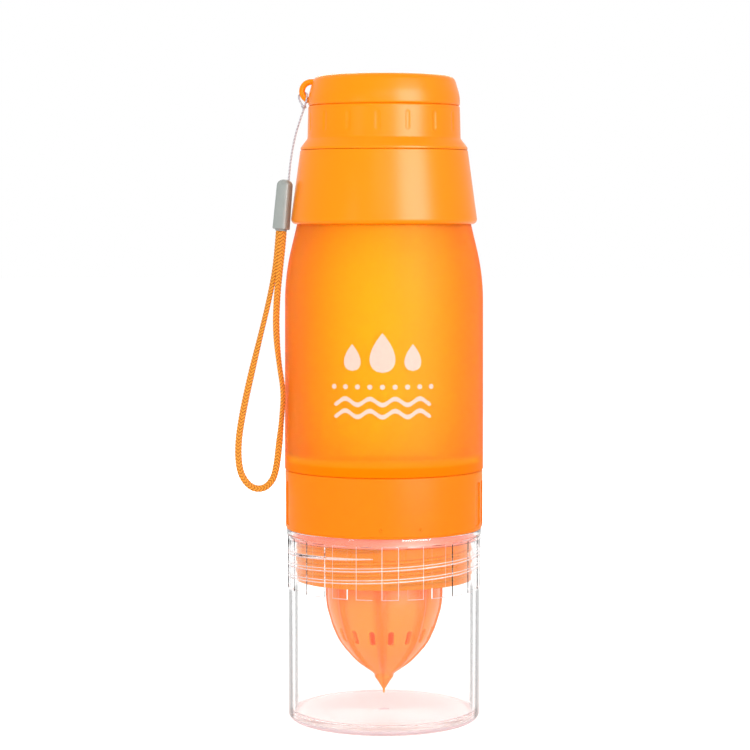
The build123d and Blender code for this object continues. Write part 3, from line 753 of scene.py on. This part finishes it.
def strand(name, line, section, first_side):
    """A tube along a line. section(along, side) gives each ring's places across, in mm, and
    the pattern's place there; the sides turn with the line and no more."""
    places, patterns, loops = [], [], []
    side = Vector(first_side)
    for number, point in enumerate(line):
        ahead = line[min(number + 1, len(line) - 1)] - line[max(number - 1, 0)]
        ahead.normalize()
        side = (side - ahead * side.dot(ahead)).normalized()
        other = ahead.cross(side)
        ring = section(number / (len(line) - 1))
        for across, off, pattern in ring:
            places.append(point + (side * across + other * off) * MM)
            patterns.append(pattern)
        count = len(ring)
        if number:
            base = (number - 1) * count
            for spot in range(count):
                after = (spot + 1) % count
                loops.append((base + spot, base + after, base + count + after,
                              base + count + spot))
    loops.append(tuple(reversed(range(count))))
    loops.append(tuple(range(len(places) - count, len(places))))
    mesh = bpy.data.meshes.new(name)
    mesh.from_pydata(places, [], loops)
    tube = bpy.data.objects.new(name, mesh)
    bpy.context.collection.objects.link(tube)
    layer = mesh.uv_layers.new(name="braid")
    for loop in mesh.loops:
        layer.data[loop.index].uv = patterns[loop.vertex_index]
    smooth(tube, 60)
    return tube


def plies(turns):
    """Two twisted plies: a section with two lobes that turns along the thread."""
    def section(along):
        ring = []
        for spot in range(16):
            angle = math.tau * spot / 16
            lobe = abs(math.cos(angle - math.tau * turns * along))
            reach = 0.25 + 0.14 * lobe
            ring.append((reach * math.cos(angle), reach * math.sin(angle),
                         (along * turns * 2, lobe)))
        return ring
    return section


thread_route = [EYE + Vector(place) * MM for place in THREAD_ROUTE]
thread_line, thread_length = cord_line(thread_route, 0.15)
thread = strand("hitch_thread", thread_line, plies(thread_length / MM / PLY_LAY), (1, 0, 0))
# Twisted polyester: pale where a ply lies over, with painted shade that greys the furrow between
# the plies.
polyester, shader = new_material("twisted_polyester_thread", Roughness=0.6, Sheen_Weight=0.1)
turns_uv = add_node(polyester, "UVMap", uv_map="braid").outputs["UV"]
lobe = add_node(polyester, "SeparateXYZ", {0: turns_uv}).outputs["Y"]
ply = add_node(polyester, "Mix", {"Factor": lobe, "A": linear("#98929A"),
               "B": linear("#C6C2C8")}, data_type="RGBA")
feed(shader, "Base Color", ply.outputs["Result"])
finish_piece(thread, polyester, "strap", "thread", "strap_thread")

KNOT = (thread_route[5] + thread_route[-1]) / 2
tangle = []
for step in range(60):
    turn = math.tau * step / 60
    tangle.append(KNOT + 0.24 * MM * Vector((math.sin(turn) + 2 * math.sin(2 * turn),
                                             math.cos(turn) - 2 * math.cos(2 * turn),
                                             -1.6 * math.sin(3 * turn))))
knot = strand("hitch_knot", tangle + tangle[:1], plies(6), (1, 0, 0))
finish_piece(knot, polyester, "strap", "thread")

# Grey clip. A small acetal block that joins the thread to the cord, with an arched top, soft
# edges and a socket below. It is turned so that one flat side faces the collar.
CLIP_AXIS = (CLIP_TOP - CLIP_FOOT).normalized()
CLIP_LENGTH = (CLIP_TOP - CLIP_FOOT).length


def clip_frame(lift=0.0):
    """The clip's own place: its foot, turned and tilted, lifted along its axis in mm."""
    across = (Vector((1, 0, 0)) - CLIP_AXIS * CLIP_AXIS.x).normalized()
    back = CLIP_AXIS.cross(across)
    tilt = Matrix((across, back, CLIP_AXIS)).transposed().to_4x4()
    return (Matrix.Translation(CLIP_FOOT + CLIP_AXIS * lift * MM) @ tilt
            @ Matrix.Rotation(math.radians(-25), 4, "Z"))


bpy.ops.object.select_all(action="DESELECT")
bpy.ops.mesh.primitive_cube_add(size=1)
clip = bpy.context.object
clip.name = clip.data.name = "cord_clip"
bpy.ops.object.mode_set(mode="EDIT")
bpy.ops.mesh.select_all(action="SELECT")
bpy.ops.transform.translate(value=(0, 0, 0.5))
bpy.ops.transform.resize(value=(5.7 * MM, 5.1 * MM, CLIP_LENGTH - 2.4 * MM),
                         center_override=(0, 0, 0))
bpy.ops.object.mode_set(mode="OBJECT")
round_edges(clip, Vector((0, 0, 1)), 1.6, 6)
select_faces(clip, lambda face: face.normal.z > 0.9)
for step in range(1, 9):
    before, after = math.radians(10 * step - 10), math.radians(10 * step)
    lift = 2.4 * (math.sin(after) - math.sin(before)) * MM
    share = math.cos(after) / math.cos(before)
    bpy.ops.mesh.extrude_region_move(TRANSFORM_OT_translate={"value": (0, 0, lift)})
    bpy.ops.transform.resize(value=(share, share, 1), center_override=(0, 0, 0))
bpy.ops.object.mode_set(mode="OBJECT")
select_faces(clip, lambda face: face.normal.z < -0.9)
bpy.ops.mesh.inset(thickness=0.3 * MM)
bpy.ops.transform.translate(value=(0, 0, -0.25 * MM))
bpy.ops.mesh.inset(thickness=0.15 * MM)
bpy.ops.mesh.extrude_region_move(TRANSFORM_OT_translate={"value": (0, 0, 5.0 * MM)})
bpy.ops.mesh.select_mode(type="VERT")
bpy.ops.object.mode_set(mode="OBJECT")
for vertex in clip.data.vertices:
    taper = 1.03 - 0.09 * vertex.co.z / CLIP_LENGTH
    vertex.co.x *= taper
    vertex.co.y *= taper
clip.data.transform(clip_frame(0.25))
smooth(clip, 40)
# Moulded acetal: a waxy satin with faint clouds in its grey.
acetal, shader = new_material("grey_acetal", Roughness=0.42, IOR=1.48)
place = add_node(acetal, "TexCoord").outputs["Object"]
cloud = add_node(acetal, "TexNoise", {"Vector": place, "Scale": 1 / (3 * MM)})
grey = add_node(acetal, "Mix", {"Factor": cloud.outputs["Fac"],
                "A": linear("#8E9491"), "B": linear("#9AA09C")}, data_type="RGBA")
feed(shader, "Base Color", grey.outputs["Result"])
finish_piece(clip, acetal, "strap", "grey_plastic", "strap_bead")

# Plug. The small oval insert that is pressed into the clip and grips the cord's two ends.
bpy.ops.object.select_all(action="DESELECT")
bpy.ops.mesh.primitive_circle_add(vertices=40, radius=1, fill_type="NGON")
plug = bpy.context.object
plug.name = plug.data.name = "cord_plug"
bpy.ops.object.mode_set(mode="EDIT")
bpy.ops.mesh.select_all(action="SELECT")
bpy.ops.transform.resize(value=(2.2 * MM, 1.55 * MM, MM), center_override=(0, 0, 0))
bpy.ops.mesh.extrude_region_move(TRANSFORM_OT_translate={"value": (0, 0, 0.25 * MM)})
bpy.ops.transform.resize(value=(2.35 / 2.2, 1.7 / 1.55, 1), center_override=(0, 0, 0))
bpy.ops.mesh.extrude_region_move(TRANSFORM_OT_translate={"value": (0, 0, 5.4 * MM)})
close_ends()
plug.data.transform(clip_frame(-0.6))
smooth(plug, 40)
finish_piece(plug, acetal, "strap", "grey_plastic", "strap_plug")

# Wrist cord. A flat braided polyester cord whose two ends are held in the plug. It hangs in a
# loop and turns its flat side as it goes, and its strands cross in a herringbone.
CORD_ROUTE = [
    (-12.75, -3.90, -57.80), (-13.85, -3.50, -67.80), (-16.45, -2.90, -80.30),
    (-19.85, -2.30, -93.80), (-23.15, -1.80, -107.30), (-26.15, -1.50, -120.80),
    (-27.95, -1.50, -132.30), (-27.65, -1.80, -141.30), (-25.75, -2.30, -146.20),
    (-22.35, -2.90, -149.40), (-18.05, -3.70, -149.40), (-14.75, -4.60, -146.20),
    (-13.25, -5.50, -141.30), (-12.15, -7.20, -132.30), (-11.05, -9.20, -121.80),
    (-10.25, -10.80, -112.30), (-12.15, -9.40, -101.30), (-13.25, -7.80, -89.30),
    (-12.95, -6.60, -77.80), (-11.95, -5.60, -67.30), (-10.85, -4.95, -57.80)]
CORD_WIDTH = 2.6
CORD_THICK = 1.3
# Shares of the cord's length, each with the degrees that its flat side is off the front there.
CORD_FLAT_SHARES = ((0.0, 50), (0.18, 50), (0.3, 15), (0.5, 0), (0.58, 20), (0.65, 85),
                    (0.75, 85), (0.83, 50), (0.9, 40), (1.0, 50))
STRAND_PITCH = 1.3        # mm along the cord from one crossing strand to the next
across = (Vector((1, 0, 0)) - CLIP_AXIS * CLIP_AXIS.x).normalized()
plug_foot = CLIP_FOOT - CLIP_AXIS * 0.6 * MM
turned_across = Matrix.Rotation(math.radians(-25), 3, CLIP_AXIS) @ across
cord_route = ([plug_foot - turned_across * 1.05 * MM]
              + [EYE + Vector(place) * MM for place in CORD_ROUTE]
              + [plug_foot + turned_across * 1.05 * MM])
cord_path, cord_length = cord_line(cord_route, 0.2)


def flat_turn(along):
    """How far the flat side is turned from the front, in radians, at a share of the length."""
    for (start, one), (end, two) in zip(CORD_FLAT_SHARES, CORD_FLAT_SHARES[1:]):
        if along <= end:
            t = (along - start) / (end - start)
            t = t * t * (3 - 2 * t)
            return math.radians(one + (two - one) * t)
    return math.radians(CORD_FLAT_SHARES[-1][1])


def braid(along):
    """A flat oval ring, raised where a strand passes over and sunk between the strands."""
    ring = []
    turn = flat_turn(along)
    for spot in range(24):
        angle = math.tau * spot / 24
        wide = CORD_WIDTH / 2 * math.copysign(abs(math.cos(angle)) ** 0.8, math.cos(angle))
        thick = CORD_THICK / 2 * math.copysign(abs(math.sin(angle)) ** 0.8, math.sin(angle))
        phase = along * cord_length / MM / STRAND_PITCH + abs(wide) * 0.75
        swell = 1 - 0.10 * abs(math.cos(math.pi * phase)) ** 6
        wide, thick = wide * swell, thick * (2 * swell - 1)
        ring.append((wide * math.cos(turn) - thick * math.sin(turn),
                     wide * math.sin(turn) + thick * math.cos(turn), (phase, wide)))
    return ring


cord = strand("wrist_cord", cord_path, braid, (1, 0, 0))
# Braided polyester: a dull sheen, light on the strands, with painted shade that browns the
# furrows between them.
woven, shader = new_material("braided_polyester_cord", Roughness=0.75, Sheen_Weight=0.1,
                             Specular_IOR_Level=0.2)
pattern = add_node(woven, "UVMap", uv_map="braid").outputs["UV"]
phase = add_node(woven, "SeparateXYZ", {0: pattern}).outputs["X"]
crest = add_node(woven, "Math", {0: phase, 1: math.pi}, operation="MULTIPLY")
crest = add_node(woven, "Math", {0: crest.outputs[0]}, operation="SINE")
crest = add_node(woven, "Math", {0: crest.outputs[0]}, operation="ABSOLUTE")
strands = add_node(woven, "Mix", {"Factor": crest.outputs[0], "A": linear("#9C5410"),
                   "B": linear("#F59E30")}, data_type="RGBA")
feed(shader, "Base Color", strands.outputs["Result"])
finish_piece(cord, woven, "strap", "cord", "strap_cord")

# Studio. A plain white floor and surround. Two soft boxes at the right and left front are there
# for the gloss alone, a third lights the front evenly, and one behind and above shines through
# the frosted body.
bpy.ops.object.select_all(action="DESELECT")
bpy.ops.mesh.primitive_plane_add(size=12, location=(0, 0, -0.0002))
floor = bpy.context.object
floor.name = floor.data.name = "floor"
floor.data.transform(floor.matrix_basis)
floor.matrix_basis = Matrix()
paper, shader = new_material("white_paper", Base_Color=(0.85, 0.85, 0.85, 1), Roughness=1.0,
                             Specular_IOR_Level=0.0, Emission_Color=(1, 1, 1, 1))
floor.data.materials.append(paper)


def background_rays(material):
    """1 for rays that show the background: to the camera, in gloss and through glass."""
    rays = add_node(material, "LightPath")
    seen = add_node(material, "Math", {0: rays.outputs["Is Camera Ray"],
                    1: rays.outputs["Is Transmission Ray"]}, operation="MAXIMUM")
    return add_node(material, "Math", {0: seen.outputs[0],
                    1: rays.outputs["Is Glossy Ray"]}, operation="MAXIMUM").outputs[0]


glow = add_node(paper, "Math", {0: background_rays(paper), 1: 0.33},
                operation="MULTIPLY")
feed(shader, "Emission Strength", glow.outputs[0])

world = bpy.data.worlds.new("studio")
bpy.context.scene.world = world
world.use_nodes = True
sky = world.node_tree.nodes["Background"]
sky.inputs["Color"].default_value = (1, 1, 1, 1)
level = add_node(world, "MapRange", {"Value": background_rays(world),
                 "To Min": 0.82, "To Max": 1.0})
feed(sky, "Strength", level.outputs["Result"])

for name, side, distance, height, wide, tall, power, plain, gloss in (
        ("key_light", 38, 1.2, 0.4, 0.8, 1.0, 58.0, False, True),
        ("fill_light", -38, 1.4, 0.22, 0.15, 0.45, 1.7, False, True),
        ("front_light", 0, 1.3, 0.6, 0.8, 0.6, 9.5, True, False),
        ("back_light", 180, 1.0, 0.75, 0.6, 0.6, 4.5, True, True)):
    turn = math.radians(side)
    light = bpy.data.lights.new(name, "AREA")
    light.shape = "RECTANGLE"
    light.size = wide
    light.size_y = tall
    light.energy = power
    lamp = bpy.data.objects.new(name, light)
    bpy.context.collection.objects.link(lamp)
    lamp.location = (distance * math.sin(turn), -distance * math.cos(turn), height)
    aim = Vector((0, 0, 0.13)) - lamp.location
    lamp.rotation_euler = aim.to_track_quat("-Z", "Y").to_euler()
    lamp.visible_camera = False
    lamp.visible_diffuse = plain
    lamp.visible_glossy = gloss
    lamp.visible_transmission = plain and gloss

camera_data = bpy.data.cameras.new("camera")
camera_data.sensor_width = 36
camera_data.lens = 115.2
camera_data.clip_start = 0.01
camera = bpy.data.objects.new("camera", camera_data)
bpy.context.collection.objects.link(camera)
camera.location = (-0.0034, -0.905, 0.1924)
camera.rotation_euler = (math.radians(90 - 3.9), 0, 0)
bpy.context.scene.camera = camera
bpy.context.scene.view_settings.view_transform = "Standard"
